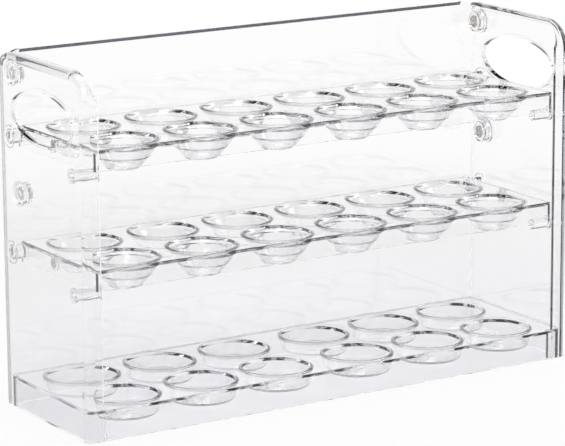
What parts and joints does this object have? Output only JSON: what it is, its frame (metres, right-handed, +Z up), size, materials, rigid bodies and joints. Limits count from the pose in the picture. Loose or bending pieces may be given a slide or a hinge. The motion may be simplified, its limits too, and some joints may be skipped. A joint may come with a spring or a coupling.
{
  "type": "egg holder",
  "caption": "Clear plastic egg holder with a fixed base tray and two trays above it that flip up and back on pins and are held open by magnets, with handle holes in its sides.",
  "frame": {"origin": "middle of the footprint, on the floor", "axes": "+X to the right along the holder's length, +Y from the open front to the back panel, +Z up"},
  "size_m": [0.32, 0.095, 0.201],
  "materials": {
    "clear_plastic": "polished, transparent",
    "magnet_nickel": "dull nickel plate"
  },
  "bodies": {
    "frame": {"base_tray": "clear_plastic", "back_panel": "clear_plastic", "left_side_panel": "clear_plastic", "right_side_panel": "clear_plastic", "middle_pivot_left": "clear_plastic", "middle_rest_left": "clear_plastic", "middle_latch_left": "clear_plastic", "middle_latch_magnet_left": "magnet_nickel", "middle_pivot_right": "clear_plastic", "middle_rest_right": "clear_plastic", "middle_latch_right": "clear_plastic", "middle_latch_magnet_right": "magnet_nickel", "top_pivot_left": "clear_plastic", "top_rest_left": "clear_plastic", "top_latch_left": "clear_plastic", "top_latch_magnet_left": "magnet_nickel", "top_pivot_right": "clear_plastic", "top_rest_right": "clear_plastic", "top_latch_right": "clear_plastic", "top_latch_magnet_right": "magnet_nickel"},
    "middle_tray": {"middle_tray": "clear_plastic", "middle_tray_magnet_left": "magnet_nickel", "middle_tray_magnet_right": "magnet_nickel"},
    "top_tray": {"top_tray": "clear_plastic", "top_tray_magnet_left": "magnet_nickel", "top_tray_magnet_right": "magnet_nickel"}
  },
  "joints": [
    {"name": "top_flip", "type": "hinge", "parent": "frame", "child": "top_tray", "pos_m": [0, 0.038, 0.1545], "axis": [-1, 0, 0], "range_deg": [0, 87.5]},
    {"name": "middle_flip", "type": "hinge", "parent": "frame", "child": "middle_tray", "pos_m": [0, 0.038, 0.0891], "axis": [-1, 0, 0], "range_deg": [0, 77]}
  ],
  "couplings": [
    {"joint": "middle_flip", "follows": "top_flip", "ratio": 0.88}
  ]
}
